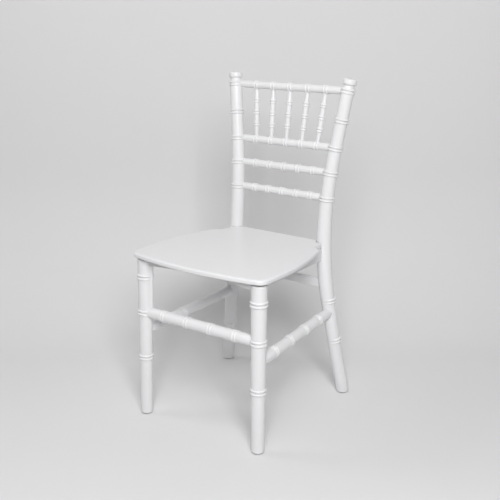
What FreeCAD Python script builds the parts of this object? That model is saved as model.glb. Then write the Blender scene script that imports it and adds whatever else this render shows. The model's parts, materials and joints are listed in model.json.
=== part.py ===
# Small white moulded chair with turned rings, built piece by piece.
# Millimetres. The origin is on the floor under the middle of the chair, +Z is up, the front faces -Y.
# Left and right are those of someone who looks at the chair's front, so left is -X.

import FreeCAD, Part

import math
import os

import Sketcher
from FreeCAD import Placement, Rotation, Vector

doc = FreeCAD.newDocument("Chair")

# Driving dimensions

DIMENSIONS = {
    "seat_top": 316.8,
    "seat_slope": 0.0232,
    "seat_thickness": 9,
    "seat_gap": 2.8,
    "seat_half_width": 144.2,
    "seat_front": 167.3,
    "seat_rear": 120.6,
    "seat_corner_x": 142.4,
    "seat_corner_y": -151.8,
    "seat_side_bow_y": -58,
    "seat_shoulder_x": 124,
    "seat_shoulder_y": 63,
    "seat_scoop_x": 106.5,
    "seat_scoop_y": 79,
    "seat_post_gap": 0.5,
    "seat_top_round": 3.5,
    "seat_under_round": 2.5,
    "front_foot_x": 127.5,
    "front_foot_y": -143.8,
    "front_top_x": 123.9,
    "front_top_y": -135.5,
    "front_leg_top": 306.8,
    "front_foot_radius": 11.5,
    "front_top_radius": 14.1,
    "strip_reach": 15.2,
    "strip_front": 0.5,
    "strip_back": 7,
    "strip_blend_x": 10.3,
    "strip_blend_y": -7.4,
    "strip_round": 3.5,
    "rear_foot_x": 141.6,
    "rear_foot_y": 142.9,
    "rear_slope_x_below": -0.1455,
    "rear_slope_x_above": 0.1335,
    "rear_bend_x_height": 346,
    "rear_bend_x_span": 282,
    "rear_slope_y_below": -0.12,
    "rear_slope_y_above": 0.135,
    "rear_bend_y_height": 275,
    "rear_bend_y_span": 310,
    "rear_seat_level": 300,
    "rear_back_level": 400,
    "rear_foot_radius": 11.8,
    "rear_seat_radius": 14.5,
    "rear_back_radius": 12.9,
    "rear_top_radius": 11.6,
    "rear_top": 599.4,
    "foot_round": 1.8,
    "glide_height": 1.2,
    "glide_radius": 8.2,
    "glide_stem_radius": 4,
    "glide_stem_length": 9,
    "leg_bead_width": 4.6,
    "leg_bead_height": 1.9,
    "leg_bead_pitch": 6.4,
    "post_bead_width": 4.2,
    "post_bead_height": 1.9,
    "post_bead_pitch": 5.7,
    "upper_ring": 273.5,
    "stretcher_ring": 204.8,
    "lower_ring": 115.8,
    "outer_upper_ring": 195.6,
    "outer_lower_ring": 113.5,
    "left_lower_ring": 94.3,
    "top_rail_height": 594.2,
    "middle_ring": 540.9,
    "spindle_rail_height": 490,
    "upper_back_rail_height": 443.5,
    "lower_back_rail_height": 395.5,
    "rail_radius": 7.1,
    "rail_bead_width": 3.6,
    "rail_bead_height": 1.6,
    "rail_bead_pitch": 6.4,
    "rail_setback": 4.3,
    "spindle_radius": 4.9,
    "spindle_neck_radius": 3.4,
    "spindle_insertion": 3.5,
    "spindle_bead_width": 4.2,
    "spindle_bead_height": 1.4,
    "spindle_bead_pitch": 4.8,
    "spindle_ring_spacing": 22.6,
    "stretcher_radius": 10,
    "stretcher_bead_width": 4.2,
    "stretcher_bead_height": 1.1,
    "stretcher_bead_pitch": 5.9,
    "front_ring_spacing": 52.8,
    "side_ring_spacing": 54.2,
    "stretcher_ring_shift": 0.9,
    "side_stretcher_front": 168,
    "side_stretcher_rear": 171.5,
    "apron_thickness": 10,
    "apron_tongue": 4,
    "apron_end_depth": 15.8,
    "front_apron_middle_depth": 9.2,
    "side_apron_front_depth": 12.5,
    "side_apron_middle_depth": 18.5,
    "side_apron_belly_depth": 25.5,
    "side_apron_rear_depth": 22,
    "side_apron_rise": 22,
    "side_apron_inset": 2.8,
    "rear_rail_height": 230,
    "rear_rail_depth": 18,
    "rear_rail_thickness": 10,
    "rear_rail_round": 2.5,
    "finial_radius": 12.9,
    "finial_neck_radius": 9.5,
    "finial_neck_height": 5.9,
    "finial_cap_height": 10.9,
    "finial_cap_round": 3.8,
    "finial_low_round": 3.2,
    "finial_crown": 0.6,
    "finial_crown_flat": 3,
    "finial_stem_radius": 5,
    "finial_stem_length": 12,
}

sheet = doc.addObject("Spreadsheet::Sheet", "Dimensions")
for row, (alias, number) in enumerate(DIMENSIONS.items(), start=1):
    sheet.set(f"A{row}", alias.replace("_", " "))
    sheet.set(f"B{row}", str(number))
    sheet.setAlias(f"B{row}", alias)
doc.recompute()

# Constants of the shape that no dimension drives

MEMBER_STOP = 5         # how far short of a post's centre line a rail or stretcher ends
APRON_STOP = 7          # the same for the two aprons that share a front leg
BEAD_SINK = 0.4         # how far a bead's foot lies below the turned surface
LEG_TOP_ROUND = 2.5       # rounding of a front leg's upper edge, where its strip ends too
TONGUE_OVERLAP = 1      # how far an apron's tongue runs down into its board
SPINDLES = 5
MIDDLE_SPINDLE = (SPINDLES - 1) / 2
SPINDLE_SHARE = 0.31    # spindle spacing as a share of the distance from the middle to a post
QUARTER_ARC = 1 - math.sqrt(0.5)    # how far a rounded corner's middle lies in from both its sides, per radius
LEFT, RIGHT = -1, 1
SIDE_NAMES = {LEFT: "left", RIGHT: "right"}


class Size:
    """A length together with the formula that ties it to the sheet."""

    def __init__(self, formula, value):
        self.formula = formula
        self.value = value

    def combine(self, other, sign, work):
        if not isinstance(other, Size):
            other = Size(repr(float(other)), float(other))
        return Size(f"({self.formula} {sign} {other.formula})", work(self.value, other.value))

    def __add__(self, other):
        return self.combine(other, "+", lambda a, b: a + b)

    def __sub__(self, other):
        return self.combine(other, "-", lambda a, b: a - b)

    def __mul__(self, other):
        return self.combine(other, "*", lambda a, b: a * b)

    def __truediv__(self, other):
        return self.combine(other, "/", lambda a, b: a / b)

    def __neg__(self):
        return self * -1


def dim(alias):
    return Size(f"Dimensions.{alias}", float(getattr(sheet, alias)))


def number(length):
    return length.value if isinstance(length, Size) else float(length)


def bind(item, property_name, length):
    if isinstance(length, Size):
        item.setExpression(property_name, length.formula)
    else:
        setattr(item, property_name, length)


ZERO = dim("seat_top") * 0


# Sketches and turned bodies

def new_body(label):
    body = doc.addObject("PartDesign::Body", "Body")
    body.Label = label
    return body


def new_sketch(body, plane_role):
    plane = next(item for item in body.Origin.OriginFeatures if item.Role == plane_role)
    sketch = body.newObject("Sketcher::SketchObject", "Sketch")
    sketch.AttachmentSupport = [(plane, "")]
    sketch.MapMode = "FlatFace"
    return sketch


def pin_point(sketch, geometry, position, corner):
    """Holds a point of the sketch at its distances from the sketch's origin."""
    for kind, length in zip(("DistanceX", "DistanceY"), corner):
        place = sketch.addConstraint(
            Sketcher.Constraint(kind, -1, 1, geometry, position, number(length)))
        name = f"{kind}_{geometry}_{position}"
        sketch.renameConstraint(place, name)
        if isinstance(length, Size):
            sketch.setExpression(f"Constraints.{name}", length.formula)


def plane_point(corner):
    return Vector(number(corner[0]), number(corner[1]), 0)


def draw_outline(sketch, corners):
    """Closes a loop through the corners; a corner given with a third item leaves by an arc through it."""
    for index, corner in enumerate(corners):
        following = corners[(index + 1) % len(corners)]
        start, end = plane_point(corner), plane_point(following)
        if len(corner) == 2:
            edge = sketch.addGeometry(Part.LineSegment(start, end))
            start_position, end_position = 1, 2
        else:
            middle = plane_point(corner[2])
            turns_left = (middle - start).cross(end - middle).z > 0
            arc = Part.Arc(start, middle, end) if turns_left else Part.Arc(end, middle, start)
            edge = sketch.addGeometry(arc)
            start_position, end_position = (1, 2) if turns_left else (2, 1)
            mark = sketch.addGeometry(Part.Point(middle), True)
            sketch.addConstraint(Sketcher.Constraint("PointOnObject", mark, 1, edge))
            pin_point(sketch, mark, 1, corner[2])
        pin_point(sketch, edge, start_position, corner[:2])
        pin_point(sketch, edge, end_position, following[:2])


def revolve(body, sketch):
    turning = body.newObject("PartDesign::Revolution", "Turning")
    turning.Profile = sketch
    turning.ReferenceAxis = (sketch, ["V_Axis"])
    turning.Angle = 360
    return turning


def turned_body(label, profile):
    """A piece turned about its own Z axis; the profile is a list of (radius, height)."""
    body = new_body(label)
    sketch = new_sketch(body, "XZ_Plane")
    draw_outline(sketch, profile)
    body.Tip = revolve(body, sketch)
    return body


def add_rings(body, radius, first, spacing, count, width, height, pitch):
    """Adds double-bead rings round a turned body, evenly spaced along it."""
    sketch = new_sketch(body, "XZ_Plane")
    foot = radius - BEAD_SINK
    for side in (-1, 1):
        middle = first + pitch * (side / 2)
        bottom, top = middle - width / 2, middle + width / 2
        draw_outline(sketch, [(foot, bottom, (radius + height, middle)), (foot, top)])
    ring = revolve(body, sketch)
    body.Tip = ring
    pattern = body.newObject("PartDesign::LinearPattern", "Rings")
    pattern.Originals = [ring]
    pattern.Direction = (sketch, ["V_Axis"])
    bind(pattern, "Length", spacing * (count - 1))
    pattern.Occurrences = count
    body.Tip = pattern


def from_to(start, end):
    """Placement with its origin half way and its Z axis along the line."""
    return Placement((start + end) * 0.5, Rotation(Vector(0, 0, 1), end - start))


# Centre lines of the legs and posts

def front_centre(side, height):
    share = height / number(dim("front_leg_top"))
    foot = Vector(number(dim("front_foot_x")), number(dim("front_foot_y")), 0)
    top = Vector(number(dim("front_top_x")), number(dim("front_top_y")), 0)
    point = foot * (1 - share) + top * share
    return Vector(side * point.x, point.y, height)


def bent(height, foot, slope_below, slope_above, bend_height, bend_span):
    """Distance of a line that runs straight, bends evenly over the span and runs straight again."""
    run = height - (bend_height - bend_span / 2)
    inside = min(max(run, 0), bend_span)
    beyond = max(run - bend_span, 0)
    turned = inside ** 2 / (2 * bend_span) + beyond
    return foot + slope_below * height + (slope_above - slope_below) * turned


def rear_centre(side, height):
    sideways, backward = (
        bent(height, *(number(dim(alias)) for alias in (
            f"rear_foot_{axis}", f"rear_slope_{axis}_below", f"rear_slope_{axis}_above",
            f"rear_bend_{axis}_height", f"rear_bend_{axis}_span")))
        for axis in "xy"
    )
    return Vector(side * sideways, backward, height)


def tangent(centre, side, height):
    step = 1.0
    direction = centre(side, height + step) - centre(side, height - step)
    return direction.normalize()


def rear_radius(height):
    """Radius of the rear post: fullest just under the seat, slimmer to the floor and to the top."""
    levels = (
        (number(dim("glide_height")), dim("rear_foot_radius")),
        (number(dim("rear_seat_level")), dim("rear_seat_radius")),
        (number(dim("rear_back_level")), dim("rear_back_radius")),
        (number(dim("rear_top")), dim("rear_top_radius")),
    )
    for (low, low_radius), (high, high_radius) in zip(levels, levels[1:]):
        if height <= high:
            share = (height - low) / (high - low)
            return low_radius * (1 - share) + high_radius * share


# Sockets

def socketed(label, base, members):
    """The piece with a fitted socket for the end of each member."""
    if len(members) == 1:
        tool = members[0]
    else:
        tool = doc.addObject("Part::Compound", "Members")
        tool.Links = members
    piece = doc.addObject("Part::Cut", "Socketed")
    piece.Base = base
    piece.Tool = tool
    piece.Label = label
    return piece


# Back rails and spindles

def rail_centre(side, height):
    return rear_centre(side, height) + Vector(0, number(dim("rail_setback")), 0)


def back_rail(label, height_alias):
    """A turned rail between the posts, with a ring where each spindle stands or would stand."""
    height = number(dim(height_alias))
    end = rail_centre(RIGHT, height)
    half_length = end.x - MEMBER_STOP
    radius = dim("rail_radius")
    body = turned_body(label, [
        (ZERO, -half_length),
        (radius, -half_length),
        (radius, half_length),
        (ZERO, half_length),
    ])
    spacing = spindle_spacing(height)
    add_rings(body, radius, ZERO - spacing * MIDDLE_SPINDLE, ZERO + spacing, SPINDLES,
              dim("rail_bead_width"), dim("rail_bead_height"), dim("rail_bead_pitch"))
    body.Placement = from_to(rail_centre(LEFT, height), end)
    return body


def spindle_spacing(height):
    """The rings and spindles share out the width between the posts, a little closer than in sixths."""
    return rear_centre(RIGHT, height).x * SPINDLE_SHARE


def spindle_point(index, height):
    offset = (index - MIDDLE_SPINDLE) * spindle_spacing(height)
    return Vector(offset, rail_centre(RIGHT, height).y, height)


def spindle(index):
    low = spindle_point(index, number(dim("spindle_rail_height")))
    high = spindle_point(index, number(dim("top_rail_height")))
    reach = (high - low).Length / 2
    insertion = number(dim("spindle_insertion"))
    half_length = reach - number(dim("rail_radius")) + insertion
    straight = half_length - insertion - 2
    neck, belly = dim("spindle_neck_radius"), dim("spindle_radius")
    ring = dim("spindle_ring_spacing")
    body = turned_body(f"spindle_{index + 1}", [
        (ZERO, -half_length),
        (neck, -half_length),
        (neck, -straight),
        (belly, -ring),
        (belly, ring),
        (neck, straight),
        (neck, half_length),
        (ZERO, half_length),
    ])
    add_rings(body, belly, -ring, ring, 3,
              dim("spindle_bead_width"), dim("spindle_bead_height"), dim("spindle_bead_pitch"))
    body.Placement = from_to(low, high)
    return body


spindles = [spindle(index) for index in range(SPINDLES)]
top_rail = socketed("top_rail", back_rail("top rail turning", "top_rail_height"), spindles)
spindle_rail = socketed("spindle_rail", back_rail("spindle rail turning", "spindle_rail_height"), spindles)
upper_back_rail = back_rail("upper_back_rail", "upper_back_rail_height")
lower_back_rail = back_rail("lower_back_rail", "lower_back_rail_height")
back_rails = [top_rail, spindle_rail, upper_back_rail, lower_back_rail]

# Stretchers

def stretcher(label, start, end, spacing):
    """A turned stretcher with four double rings, a little nearer to its start.

    It stops short of both centre lines.
    """
    half_length = (end - start).Length / 2 - MEMBER_STOP
    radius = dim("stretcher_radius")
    body = turned_body(label, [
        (ZERO, -half_length),
        (radius, -half_length),
        (radius, half_length),
        (ZERO, half_length),
    ])
    add_rings(body, radius, -spacing * 1.5 - dim("stretcher_ring_shift"), spacing, 4,
              dim("stretcher_bead_width"), dim("stretcher_bead_height"), dim("stretcher_bead_pitch"))
    body.Placement = from_to(start, end)
    return body


front_level = number(dim("stretcher_ring"))
front_stretcher = stretcher("front_stretcher", front_centre(LEFT, front_level),
                            front_centre(RIGHT, front_level), dim("front_ring_spacing"))
side_stretchers = {
    side: stretcher(f"side_stretcher_{name}",
                    front_centre(side, number(dim("side_stretcher_front"))),
                    rear_centre(side, number(dim("side_stretcher_rear"))),
                    dim("side_ring_spacing"))
    for side, name in SIDE_NAMES.items()
}

# Rear rail: a flat bar between the posts, below the seat

def rear_rail_piece():
    level = number(dim("rear_rail_height"))
    end = rear_centre(RIGHT, level)
    half_thickness = dim("rear_rail_thickness") / 2
    half_depth = dim("rear_rail_depth") / 2
    body = new_body("rear_rail")
    sketch = new_sketch(body, "YZ_Plane")
    draw_outline(sketch, [
        (-half_thickness, -half_depth),
        (half_thickness, -half_depth),
        (half_thickness, half_depth),
        (-half_thickness, half_depth),
    ])
    bar = body.newObject("PartDesign::Pad", "Bar")
    bar.Profile = sketch
    bar.Midplane = True
    bar.Length = 2 * (end.x - MEMBER_STOP - 1)
    body.Tip = bar
    doc.recompute()
    long_edges = [
        f"Edge{index}" for index, edge in enumerate(bar.Shape.Edges, start=1)
        if edge.Length > number(dim("rear_rail_depth")) * 2
    ]
    softened = body.newObject("PartDesign::Fillet", "SoftEdges")
    softened.Base = (bar, long_edges)
    bind(softened, "Radius", dim("rear_rail_round"))
    body.Tip = softened
    body.Placement = Placement(Vector(0, end.y, level), Rotation())
    return body


rear_rail = rear_rail_piece()

# Aprons under the seat

seat_tilt = Rotation(Vector(1, 0, 0), -math.degrees(math.atan(number(dim("seat_slope")))))


def under_seat(y):
    """Height of the seat's underside, which falls a little towards the rear."""
    return number(dim("seat_top") - dim("seat_thickness")) - number(dim("seat_slope")) * y


def apron_board(label, lower_edge):
    """A board on edge, with a narrower tongue on top that fills the gap under the seat.

    The board's own Z is 0 on the seat's underside, and its lower edge runs from one end to the other.
    """
    near, far = lower_edge[0][0], lower_edge[-1][0]
    shoulder = -dim("seat_gap")
    board = [(near, shoulder), *lower_edge, (far, shoulder)]
    tongue_foot = shoulder - TONGUE_OVERLAP
    tongue = [(near, ZERO), (near, tongue_foot), (far, tongue_foot), (far, ZERO)]
    body = new_body(label)
    for outline, thickness in ((board, "apron_thickness"), (tongue, "apron_tongue")):
        sketch = new_sketch(body, "XZ_Plane")
        draw_outline(sketch, outline)
        pad = body.newObject("PartDesign::Pad", "Pad")
        pad.Profile = sketch
        pad.Midplane = True
        bind(pad, "Length", dim(thickness))
        body.Tip = pad
    return body


def front_apron_piece():
    """The board between the front legs, its lower edge slightly arched."""
    leg_top = front_centre(RIGHT, number(dim("front_leg_top")))
    half_length = leg_top.x - APRON_STOP
    end_depth = -dim("apron_end_depth")
    body = apron_board("front_apron", [
        (-half_length, end_depth, (ZERO, -dim("front_apron_middle_depth"))),
        (half_length, end_depth),
    ])
    body.Placement = Placement(Vector(0, leg_top.y, under_seat(leg_top.y)), seat_tilt)
    return body


def side_apron_piece(side):
    """A board from the front leg to the rear post, deepest just before the post."""
    start = front_centre(side, number(dim("front_leg_top")))
    end = rear_centre(side, number(dim("rear_seat_level")))
    end.x -= side * number(dim("side_apron_inset"))
    for point in (start, end):
        point.z = under_seat(point.y)
    length = (end - start).Length
    far_end = length - APRON_STOP - 1
    belly = far_end - number(dim("side_apron_rise"))
    body = apron_board(f"side_apron_{SIDE_NAMES[side]}", [
        (APRON_STOP, -dim("side_apron_front_depth"), (length / 2, -dim("side_apron_middle_depth"))),
        (belly, -dim("side_apron_belly_depth")),
        (far_end, -dim("side_apron_rear_depth")),
    ])
    body.Placement = Placement(start, Rotation(end - start, Vector(), Vector(0, 0, 1), "XZY"))
    return body


front_apron = front_apron_piece()
side_aprons = {side: side_apron_piece(side) for side in SIDE_NAMES}

# Finials and foot glides

NECK_HOLLOW = 0.22      # where the neck's hollow lies half way up, as a share of its taper


def finial_piece(side):
    """A turned knob on the post's top, with a hollowed neck and a stem in the post."""
    base = dim("rear_top_radius")
    neck, neck_height = dim("finial_neck_radius"), dim("finial_neck_height")
    cap, edge = dim("finial_radius"), dim("finial_cap_round")
    top = neck_height + dim("finial_cap_height")
    low_edge = dim("finial_low_round")
    crown, flat = dim("finial_crown"), dim("finial_crown_flat")
    body = turned_body(f"finial_{SIDE_NAMES[side]}", [
        (ZERO, -dim("finial_stem_length")),
        (dim("finial_stem_radius"), -dim("finial_stem_length")),
        (dim("finial_stem_radius"), ZERO),
        (base, ZERO, (neck + (base - neck) * NECK_HOLLOW, neck_height / 2)),
        (neck, neck_height),
        (cap - low_edge, neck_height, (cap - low_edge * QUARTER_ARC, neck_height + low_edge * QUARTER_ARC)),
        (cap, neck_height + low_edge),
        (cap, top - edge, (cap - edge * QUARTER_ARC, top - edge * QUARTER_ARC)),
        (cap - edge, top, ((cap - edge + flat) / 2, top + crown * 0.6)),
        (flat, top + crown),
        (ZERO, top + crown),
    ])
    level = number(dim("rear_top"))
    turn = Rotation(Vector(0, 0, 1), tangent(rear_centre, side, level))
    body.Placement = Placement(rear_centre(side, level), turn)
    return body


def glide_piece(label, foot):
    """A low disc under the foot with a stem in the leg."""
    height, radius = dim("glide_height"), dim("glide_radius")
    stem = dim("glide_stem_radius")
    body = turned_body(label, [
        (ZERO, ZERO),
        (radius - 0.4, ZERO),
        (radius, ZERO + 0.4),
        (radius, height),
        (stem, height),
        (stem, height + dim("glide_stem_length")),
        (ZERO, height + dim("glide_stem_length")),
    ])
    body.Placement = Placement(Vector(foot.x, foot.y, 0), Rotation())
    return body


finials = {side: finial_piece(side) for side in SIDE_NAMES}
foot_level = number(dim("glide_height"))
front_glides = {
    side: glide_piece(f"glide_front_{name}", front_centre(side, foot_level))
    for side, name in SIDE_NAMES.items()
}
rear_glides = {
    side: glide_piece(f"glide_rear_{name}", rear_centre(side, foot_level))
    for side, name in SIDE_NAMES.items()
}

# Front legs

def flip(corner, sign):
    """The corner of an outline, mirrored left to right when the sign is negative."""
    flipped = (corner[0] * sign, corner[1])
    return flipped + tuple(flip(middle, sign) for middle in corner[2:])


def leg_profile(length, ring_heights):
    """Half section of a leg, from the foot's middle up and back to the axis, with a bead pair at each ring."""
    foot, top = dim("front_foot_radius"), dim("front_top_radius")
    foot_round, top_round = dim("foot_round"), LEG_TOP_ROUND

    def radius(height):
        return foot * (1 - height / length) + top * (height / length)

    profile = [
        (ZERO, ZERO),
        (foot - foot_round, ZERO, (foot - foot_round * QUARTER_ARC, foot_round * QUARTER_ARC)),
        (foot, foot_round),
    ]
    half_width, rise = number(dim("leg_bead_width")) / 2, dim("leg_bead_height")
    for ring in sorted(ring_heights):
        for step in (-0.5, 0.5):
            middle = ring + step * number(dim("leg_bead_pitch"))
            start, end = middle - half_width, middle + half_width
            profile.append((radius(start), start, (radius(middle) + rise, middle)))
            profile.append((radius(end), end))
    return profile + [
        (top, length - top_round, (top - top_round * QUARTER_ARC, length - top_round * QUARTER_ARC)),
        (top - top_round, length),
        (ZERO, length),
    ]


RING_CUT_ARC = (-19, -13, -7)       # start, middle and end of the upper ring's gap, degrees from the strip
RING_CUT_DEPTH = 0.3                # how far inside the strip's face the beads are cut away


def front_leg(side):
    """A turned leg that leans a little, with a strip on its inner side from the stretcher to the seat.

    The strip's front leaves the round of the leg smoothly, and the upper ring ends just before it.
    """
    top = number(dim("front_leg_top"))
    foot_point, top_point = front_centre(side, foot_level), front_centre(side, top)
    length = (top_point - foot_point).Length
    stretch = length / (top - foot_level)
    rings = [(number(dim(alias)) - foot_level) * stretch
             for alias in ("upper_ring", "stretcher_ring", "lower_ring")]
    name = f"front_leg_{SIDE_NAMES[side]}"
    body = turned_body(f"{name} turning", leg_profile(length, rings))
    strip_start = (front_level - foot_level) * stretch
    reach, back, rounding = dim("strip_reach"), dim("strip_back"), dim("strip_round")
    inset = rounding * QUARTER_ARC
    band = number(dim("leg_bead_pitch"))
    foot_radius, top_radius = dim("front_foot_radius"), dim("front_top_radius")
    ring_radius = foot_radius + (top_radius - foot_radius) * ((rings[0] + band) / length)
    gap_start, gap_middle, gap_end = (
        (ring_radius * math.cos(math.radians(turn)), ring_radius * math.sin(math.radians(turn)))
        for turn in RING_CUT_ARC)
    gap_depth = reach - RING_CUT_DEPTH
    beyond_beads = reach + dim("leg_bead_height") * 2
    strip = [
        (ZERO, dim("strip_blend_y")),
        (dim("strip_blend_x"), dim("strip_blend_y")),
        (reach, dim("strip_front")),
        (reach, back - rounding, (reach - inset, back - inset)),
        (reach - rounding, back),
        (ZERO, back),
    ]
    ring_gap = [
        gap_start + (gap_middle,),
        gap_end,
        (gap_depth, dim("strip_front")),
        (gap_depth, back),
        (beyond_beads, back),
        (beyond_beads, gap_start[1]),
    ]
    for kind, outline, start, run in (
            ("Pocket", ring_gap, rings[0] - band, band * 2),
            ("Pad", strip, strip_start, length - strip_start - LEG_TOP_ROUND)):
        sketch = new_sketch(body, "XY_Plane")
        sketch.AttachmentOffset = Placement(Vector(0, 0, start), Rotation())
        draw_outline(sketch, [flip(corner, -side) for corner in outline])
        feature = body.newObject(f"PartDesign::{kind}", kind)
        feature.Profile = sketch
        feature.Length = run
        feature.Reversed = kind == "Pocket"     # so that both run upwards
        body.Tip = feature
    body.Placement = Placement(foot_point, Rotation(Vector(0, 0, 1), top_point - foot_point))
    members = [front_stretcher, side_stretchers[side], front_apron, side_aprons[side], front_glides[side]]
    return socketed(name, body, members)


# Rear posts

BENT_SECTIONS = (60, 120, 180, 240, 300, 360, 420, 480, 540)
OUTWARD_SHIFT = Vector(0.77, 0.64, 0) * 1.5     # moves a ring out and back, so that it fades in front
OUTWARD_DROP = 0.6


def section(side, height, direction):
    circle = Part.Circle(rear_centre(side, height), direction, number(rear_radius(height)))
    return Part.Wire(circle.toShape())


def bent_limb(side):
    """The post's body, lofted through circles square to its centre line but cut level at the floor."""
    sections = [section(side, foot_level, Vector(0, 0, 1))]
    for height in BENT_SECTIONS + (number(dim("rear_top")),):
        sections.append(section(side, height, tangent(rear_centre, side, height)))
    return Part.makeLoft(sections, True, False)


def bead_pair(side, height, shift=Vector(0, 0, 0), drop=0.0):
    """Two round beads about the post at one ring."""
    half_width = number(dim("post_bead_width")) / 2
    rise = number(dim("post_bead_height")) - drop
    bead_radius = (half_width ** 2 + rise ** 2) / (2 * rise)
    direction = tangent(rear_centre, side, height)
    beads = []
    for step in (-0.5, 0.5):
        level = height + step * number(dim("post_bead_pitch"))
        ring_radius = number(rear_radius(level)) + rise - bead_radius
        beads.append(Part.makeTorus(ring_radius, bead_radius, rear_centre(side, level) + shift, direction))
    return beads


def rear_post(side):
    """A bent post from the floor to the finial, with a ring at each rail, one between and two below."""
    rings = [number(dim(alias)) for alias in (
        "top_rail_height", "middle_ring", "spindle_rail_height", "upper_back_rail_height",
        "lower_back_rail_height")]
    faded_rings = [number(dim("outer_upper_ring"))]
    if side == RIGHT:
        faded_rings.append(number(dim("outer_lower_ring")))
    else:
        rings.append(number(dim("left_lower_ring")))
    shift = Vector(side * OUTWARD_SHIFT.x, OUTWARD_SHIFT.y, 0)
    beads = []
    for height in rings:
        beads += bead_pair(side, height)
    for height in faded_rings:
        beads += bead_pair(side, height, shift, OUTWARD_DROP)
    solid = bent_limb(side).fuse(beads)
    bottom = [edge for edge in solid.Edges if edge.BoundBox.ZMax < foot_level + 0.01]
    post = doc.addObject("Part::Feature", "Post")
    post.Shape = solid.makeFillet(number(dim("foot_round")), bottom).Solids[0]
    members = back_rails + [rear_rail, side_stretchers[side], side_aprons[side], finials[side],
                            rear_glides[side]]
    return socketed(f"rear_post_{SIDE_NAMES[side]}", post, members)


front_legs = {side: front_leg(side) for side in SIDE_NAMES}
rear_posts = {side: rear_post(side) for side in SIDE_NAMES}

# Seat panel

seat_notch = rear_centre(RIGHT, under_seat(number(dim("seat_rear"))))
notch_radius = number(rear_radius(seat_notch.z)) + number(dim("seat_post_gap"))


def notch_point(degrees):
    """A point on the seat's edge where it runs round the right rear post."""
    turn = math.radians(degrees)
    return (ZERO + seat_notch.x + notch_radius * math.cos(turn),
            ZERO + seat_notch.y + notch_radius * math.sin(turn))


def seat_outline():
    """The seat from above with sharp corners: bowed front and sides, and rear corners cut round the posts."""
    half_width, front, rear = dim("seat_half_width"), dim("seat_front"), dim("seat_rear")
    right = [
        (notch_point(180)[0], rear, notch_point(225)),
        notch_point(280),
        (dim("seat_scoop_x"), dim("seat_scoop_y")),
        (dim("seat_shoulder_x"), dim("seat_shoulder_y"), (half_width, dim("seat_side_bow_y"))),
        (dim("seat_corner_x"), dim("seat_corner_y"), (ZERO, -front)),
    ]
    left = [
        (-dim("seat_corner_x"), dim("seat_corner_y"), (-half_width, dim("seat_side_bow_y"))),
        (-dim("seat_shoulder_x"), dim("seat_shoulder_y")),
        (-dim("seat_scoop_x"), dim("seat_scoop_y")),
        flip(notch_point(280), -1) + (flip(notch_point(225), -1),),
        (-notch_point(180)[0], rear),
    ]
    return right + left


CORNER_ROUNDS = {"seat_corner": 18, "seat_shoulder": 9, "seat_scoop": 9}


def round_edges(body, base, edges, radius):
    rounding = body.newObject("PartDesign::Fillet", "Rounding")
    rounding.Base = (base, edges)
    bind(rounding, "Radius", radius)
    body.Tip = rounding
    doc.recompute()
    return rounding


def seat_piece():
    body = new_body("seat_panel")
    sketch = new_sketch(body, "XY_Plane")
    draw_outline(sketch, seat_outline())
    panel = body.newObject("PartDesign::Pad", "Panel")
    panel.Profile = sketch
    bind(panel, "Length", dim("seat_thickness"))
    body.Tip = panel
    doc.recompute()
    base = panel
    thickness = number(dim("seat_thickness"))
    for name, radius in CORNER_ROUNDS.items():
        x, y = number(dim(f"{name}_x")), number(dim(f"{name}_y"))
        corners = []
        for index, edge in enumerate(base.Shape.Edges, start=1):
            point = edge.Vertexes[0].Point
            upright = edge.BoundBox.ZLength > thickness - 0.01
            if upright and abs(abs(point.x) - x) < 0.01 and abs(point.y - y) < 0.01:
                corners.append(f"Edge{index}")
        base = round_edges(body, base, corners, radius)
    for level, radius in ((thickness, dim("seat_top_round")), (0, dim("seat_under_round"))):
        rim = [
            f"Edge{index}" for index, edge in enumerate(base.Shape.Edges, start=1)
            if abs(edge.BoundBox.ZMin - level) < 0.01 and abs(edge.BoundBox.ZMax - level) < 0.01
        ]
        base = round_edges(body, base, rim, radius)
    body.Placement = Placement(Vector(0, 0, under_seat(0)), seat_tilt)
    return body


seat_panel = seat_piece()

# Checks and files

nodes = [seat_panel, front_apron, *side_aprons.values(), *front_legs.values(), *rear_posts.values(),
         *finials.values(), *back_rails, *spindles, front_stretcher, *side_stretchers.values(),
         rear_rail, *front_glides.values(), *rear_glides.values()]

doc.recompute()
for item in doc.Objects:
    if "Invalid" in item.State or "Error" in item.State:
        raise RuntimeError(f"{item.Label} failed: {item.State}")
os.makedirs("parts", exist_ok=True)
for piece in nodes:
    shape = piece.Shape
    if shape.isNull() or not shape.isValid() or len(shape.Solids) != 1:
        raise RuntimeError(f"{piece.Label} is not one valid solid: {len(shape.Solids)}")
    shape.exportStep(f"parts/{piece.Label}.step")
    box = shape.BoundBox
    print(f"{piece.Label:24s} {box.XLength:7.1f} {box.YLength:7.1f} {box.ZLength:7.1f} {shape.Volume:10.0f}")
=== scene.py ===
# Small chiavari chair in white moulded resin, standing on a pale studio sweep.
# Sizes are in metres, unless a note says otherwise.

import json
import math

import bpy
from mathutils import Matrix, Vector

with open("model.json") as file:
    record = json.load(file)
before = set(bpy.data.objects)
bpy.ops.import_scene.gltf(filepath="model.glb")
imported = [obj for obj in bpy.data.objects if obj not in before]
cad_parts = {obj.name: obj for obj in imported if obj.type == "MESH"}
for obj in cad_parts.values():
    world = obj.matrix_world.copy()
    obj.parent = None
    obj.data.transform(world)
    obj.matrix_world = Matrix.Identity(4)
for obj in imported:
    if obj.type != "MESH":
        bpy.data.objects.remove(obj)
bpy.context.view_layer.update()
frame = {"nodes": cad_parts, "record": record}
print("frame loaded:", len(frame["nodes"]), "nodes")


# Shader sums

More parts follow.
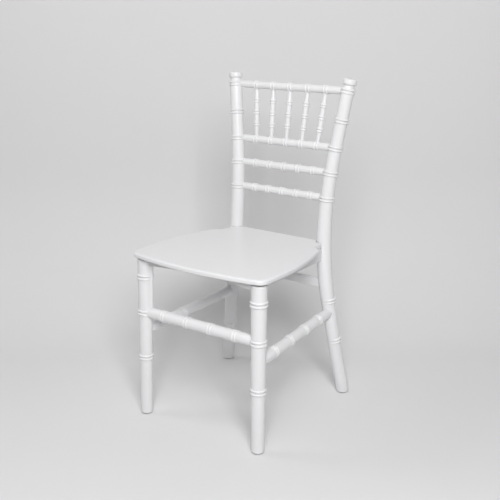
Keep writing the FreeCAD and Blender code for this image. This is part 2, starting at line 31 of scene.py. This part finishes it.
class Wire:
    # one output of a shader node, on which sums are written as sums
    def __init__(self, finish, socket):
        self.finish = finish
        self.socket = socket

    def sum(self, operation, other):
        return self.finish.node("ShaderNodeMath", {"operation": operation}, {0: self, 1: other})

    def __add__(self, other):
        return self.sum("ADD", other)

    def __mul__(self, other):
        return self.sum("MULTIPLY", other)

    __radd__ = __add__
    __rmul__ = __mul__


class Finish:
    # a material, or the sky, that is built node by node around its own shader
    def __init__(self, owner, shaderName, shaderValues):
        owner.use_nodes = True
        self.owner = owner
        self.tree = owner.node_tree
        self.shader = self.tree.nodes[shaderName]
        for socketName, value in shaderValues.items():
            self.drive(socketName, value)

    def drive(self, socketName, value):
        self.feed(self.shader.inputs[socketName], value)

    def feed(self, socket, value):
        if isinstance(value, Wire):
            self.tree.links.new(value.socket, socket)
        else:
            socket.default_value = value

    def node(self, kind, settings=None, sockets=None, output=0):
        made = self.tree.nodes.new(kind)
        for name, value in (settings or {}).items():
            if name == "stops":
                for stop, (position, shade) in zip(made.color_ramp.elements, value):
                    stop.position = position
                    stop.color = (shade, shade, shade, 1)
            else:
                setattr(made, name, value)
        for name, value in (sockets or {}).items():
            self.feed(made.inputs[name], value)
        return Wire(self, made.outputs[output])

    def noise(self, size, detail=2.0, roughness=0.5):
        return self.node("ShaderNodeTexNoise", sockets={
            "Vector": self.node("ShaderNodeTexCoord", output="Object"),
            "Scale": 1 / size, "Detail": detail, "Roughness": roughness})

    def ramp(self, value, stops):
        return self.node("ShaderNodeValToRGB", {"stops": stops}, {"Fac": value})

    def blend(self, share, first, second):
        # inputs 6 and 7 of the mix node are its two colours, and output 2 is the mixed colour
        return self.node(
            "ShaderNodeMix", {"data_type": "RGBA"}, {0: share, 6: first, 7: second}, 2)

    def bump(self, height, distance, below=None):
        sockets = {"Height": height, "Distance": distance}
        if below is not None:
            sockets["Normal"] = below
        return self.node("ShaderNodeBump", sockets=sockets)


# White moulded resin

resin = {
    "white": (0.765, 0.765, 0.775, 1),
    "warmWhite": (0.745, 0.745, 0.75, 1),
    "cloudSize": 0.09,
    "cloudDetail": 3,
    # colour of the painted shade in narrow gaps, grooves and joints
    "creviceShade": (0.30, 0.295, 0.285, 1),
    "creviceReach": 0.006,                  # gaps narrower than this get a little painted shade
    "creviceSamples": 8,
    "creviceStops": ((0.1, 0), (0.5, 1)),   # how open a place is, and how much painted shade that leaves on it
    "satin": 0.27,
    "satinSpread": 0.08,                    # the most that a smudge adds to the roughness
    "smudgeSize": 0.044,
    "smudgeDetail": 4,
    "smudgeRoughness": 0.6,
    "waveSize": 0.022,
    "waveHeight": 0.00012,
    "grainSize": 0.0009,
    "grainHeight": 0.00002,
    "ior": 1.46,
}


def resinFinish():
    finish = Finish(
        bpy.data.materials.new("whiteResin"), "Principled BSDF", {"IOR": resin["ior"]})
    cloud = finish.noise(resin["cloudSize"], resin["cloudDetail"])
    resinTone = finish.blend(cloud, resin["white"], resin["warmWhite"])
    # painted shade: ambient occlusion darkens the base colour in narrow gaps, grooves and
    # joints
    openness = finish.node(
        "ShaderNodeAmbientOcclusion", {"samples": resin["creviceSamples"]},
        {"Distance": resin["creviceReach"]}, "AO")
    unshadedShare = finish.ramp(openness, resin["creviceStops"])
    finish.drive("Base Color", finish.blend(unshadedShare, resin["creviceShade"], resinTone))
    smudge = finish.noise(
        resin["smudgeSize"], resin["smudgeDetail"], resin["smudgeRoughness"])
    finish.drive("Roughness", smudge * resin["satinSpread"] + resin["satin"])
    wave = finish.bump(finish.noise(resin["waveSize"]), resin["waveHeight"])
    grain = finish.bump(finish.noise(resin["grainSize"]), resin["grainHeight"], wave)
    finish.drive("Normal", grain)
    return finish.owner


# Grey rubbery glides under the feet; their dark grey is partly the glides' own colour and
# partly painted contact shadow under each foot

glide = {
    # partly painted shade: dark enough to draw the contact shadow line under each foot
    "grey": (0.30, 0.30, 0.305, 1),
    "scuffed": (0.20, 0.20, 0.20, 1),
    "scuffSize": 0.003,
    "scuffDetail": 4,
    "roughness": 0.7,
}


def glideFinish():
    finish = Finish(
        bpy.data.materials.new("greyGlide"), "Principled BSDF",
        {"Roughness": glide["roughness"]})
    scuff = finish.noise(glide["scuffSize"], glide["scuffDetail"])
    finish.drive("Base Color", finish.blend(scuff, glide["grey"], glide["scuffed"]))
    return finish.owner


finishes = {"resin": resinFinish(), "glide": glideFinish()}
for row in frame["record"]["subparts"]:
    node = frame["nodes"][row["node"]]
    node.data.materials.clear()
    node.data.materials.append(finishes[row["material_slot"]])
print("finishes made:", len(finishes))


# Camera, at the photograph's angle

view = {
    "place": (0.8099, -1.1678, 0.7544),
    "turn": 34.3007,            # degrees to the left of straight ahead
    "dip": 17.3874,             # degrees down
    "lens": 57.709,             # millimetres
}


def addCamera():
    data = bpy.data.cameras.new("camera")
    data.lens = view["lens"]
    camera = bpy.data.objects.new("camera", data)
    camera.location = view["place"]
    camera.rotation_euler = (math.radians(90 - view["dip"]), 0, math.radians(view["turn"]))
    bpy.context.scene.collection.objects.link(camera)
    bpy.context.scene.camera = camera


addCamera()
print("camera set")


# Floor that rises into a backdrop behind the chair, square to the camera

sweep = {
    "colour": (0.72, 0.715, 0.72, 1),
    "roughness": 0.9,
    "flatBefore": 2.5,          # flat floor from the chair's middle towards the camera
    "flatBehind": 0.21,         # and from there to the foot of the curve
    "radius": 0.35,
    "arcSteps": 48,
    "wallHeight": 3.0,          # above the curve
    "halfWidth": 4.0,
}


def sweepFinish():
    finish = Finish(
        bpy.data.materials.new("studioSweep"), "Principled BSDF",
        {"Roughness": sweep["roughness"], "Base Color": sweep["colour"]})
    # the wall lets the camera look in from behind, so that the chair shows from every side;
    # the mix shader's inputs are its factor and the two shaders
    behind = finish.node("ShaderNodeNewGeometry", output="Backfacing")
    looked = finish.node("ShaderNodeLightPath", output="Is Camera Ray")
    solid = Wire(finish, finish.shader.outputs["BSDF"])
    clear = finish.node("ShaderNodeBsdfTransparent")
    shown = finish.node("ShaderNodeMixShader", sockets={0: behind * looked, 1: solid, 2: clear})
    finish.feed(finish.tree.nodes["Material Output"].inputs["Surface"], shown)
    return finish.owner


def addSweep():
    turn = math.radians(view["turn"])
    away = Vector((-math.sin(turn), math.cos(turn), 0))
    aside = Vector((away.y, -away.x, 0))
    line = [away * -sweep["flatBefore"]]
    for step in range(sweep["arcSteps"] + 1):
        bend = math.pi / 2 * step / sweep["arcSteps"]
        reach = sweep["flatBehind"] + sweep["radius"] * math.sin(bend)
        line.append(away * reach + Vector((0, 0, sweep["radius"] * (1 - math.cos(bend)))))
    line.append(line[-1] + Vector((0, 0, sweep["wallHeight"])))
    halfWidth = sweep["halfWidth"]
    points = [point + aside * side for point in line for side in (-halfWidth, halfWidth)]
    faces = [(i, i + 1, i + 3, i + 2) for i in range(0, len(points) - 2, 2)]
    mesh = bpy.data.meshes.new("sweep")
    mesh.from_pydata(points, [], faces)
    mesh.polygons.foreach_set("use_smooth", [True] * len(faces))
    mesh.materials.append(sweepFinish())
    backdrop = bpy.data.objects.new("sweep", mesh)
    bpy.context.scene.collection.objects.link(backdrop)


addSweep()
print("sweep laid")


# Soft studio light: each lamp is a square panel that faces the chair.
# Azimuth is in degrees, 0 before the chair and 90 on its right. Elevation is in degrees too,
# and power in watts.

lamps = {
    "key": {"azimuth": 38, "elevation": 35, "distance": 2.2, "size": 0.9, "power": 41},
    "top": {"azimuth": 30, "elevation": 68, "distance": 2.2, "size": 0.8, "power": 7.5},
    "left": {"azimuth": -70, "elevation": 35, "distance": 2.2, "size": 1.2, "power": 11.5},
    "right": {"azimuth": 110, "elevation": 35, "distance": 2.2, "size": 1.2, "power": 2.5},
}
lampAim = Vector((0, 0, 0.28))


def addLamp(name, lamp):
    data = bpy.data.lights.new(name, "AREA")
    data.size = lamp["size"]
    data.energy = lamp["power"]
    light = bpy.data.objects.new(name, data)
    around = math.radians(lamp["azimuth"])
    rise = math.radians(lamp["elevation"])
    level = math.cos(rise)
    towards = Vector((math.sin(around) * level, -math.cos(around) * level, math.sin(rise)))
    light.location = lampAim + towards * lamp["distance"]
    light.rotation_euler = towards.to_track_quat("Z", "Y").to_euler()
    bpy.context.scene.collection.objects.link(light)


for lampName, lampSettings in lamps.items():
    addLamp(lampName, lampSettings)


# Sky: a faint light on the chair, and a pale ground beyond the sweep's edges

sky = {
    "light": (0.03, 0.03, 0.03, 1),
    "seen": (0.62, 0.615, 0.62, 1),
}


def addSky():
    finish = Finish(bpy.data.worlds.new("sky"), "Background", {"Strength": 1})
    looked, mirrored, throughGlass = (
        finish.node("ShaderNodeLightPath", output=name)
        for name in ("Is Camera Ray", "Is Glossy Ray", "Is Transmission Ray"))
    finish.drive("Color", finish.blend(
        looked + mirrored + throughGlass, sky["light"], sky["seen"]))
    bpy.context.scene.world = finish.owner


addSky()
bpy.context.scene.view_settings.view_transform = "Standard"
print("lamps and sky set")
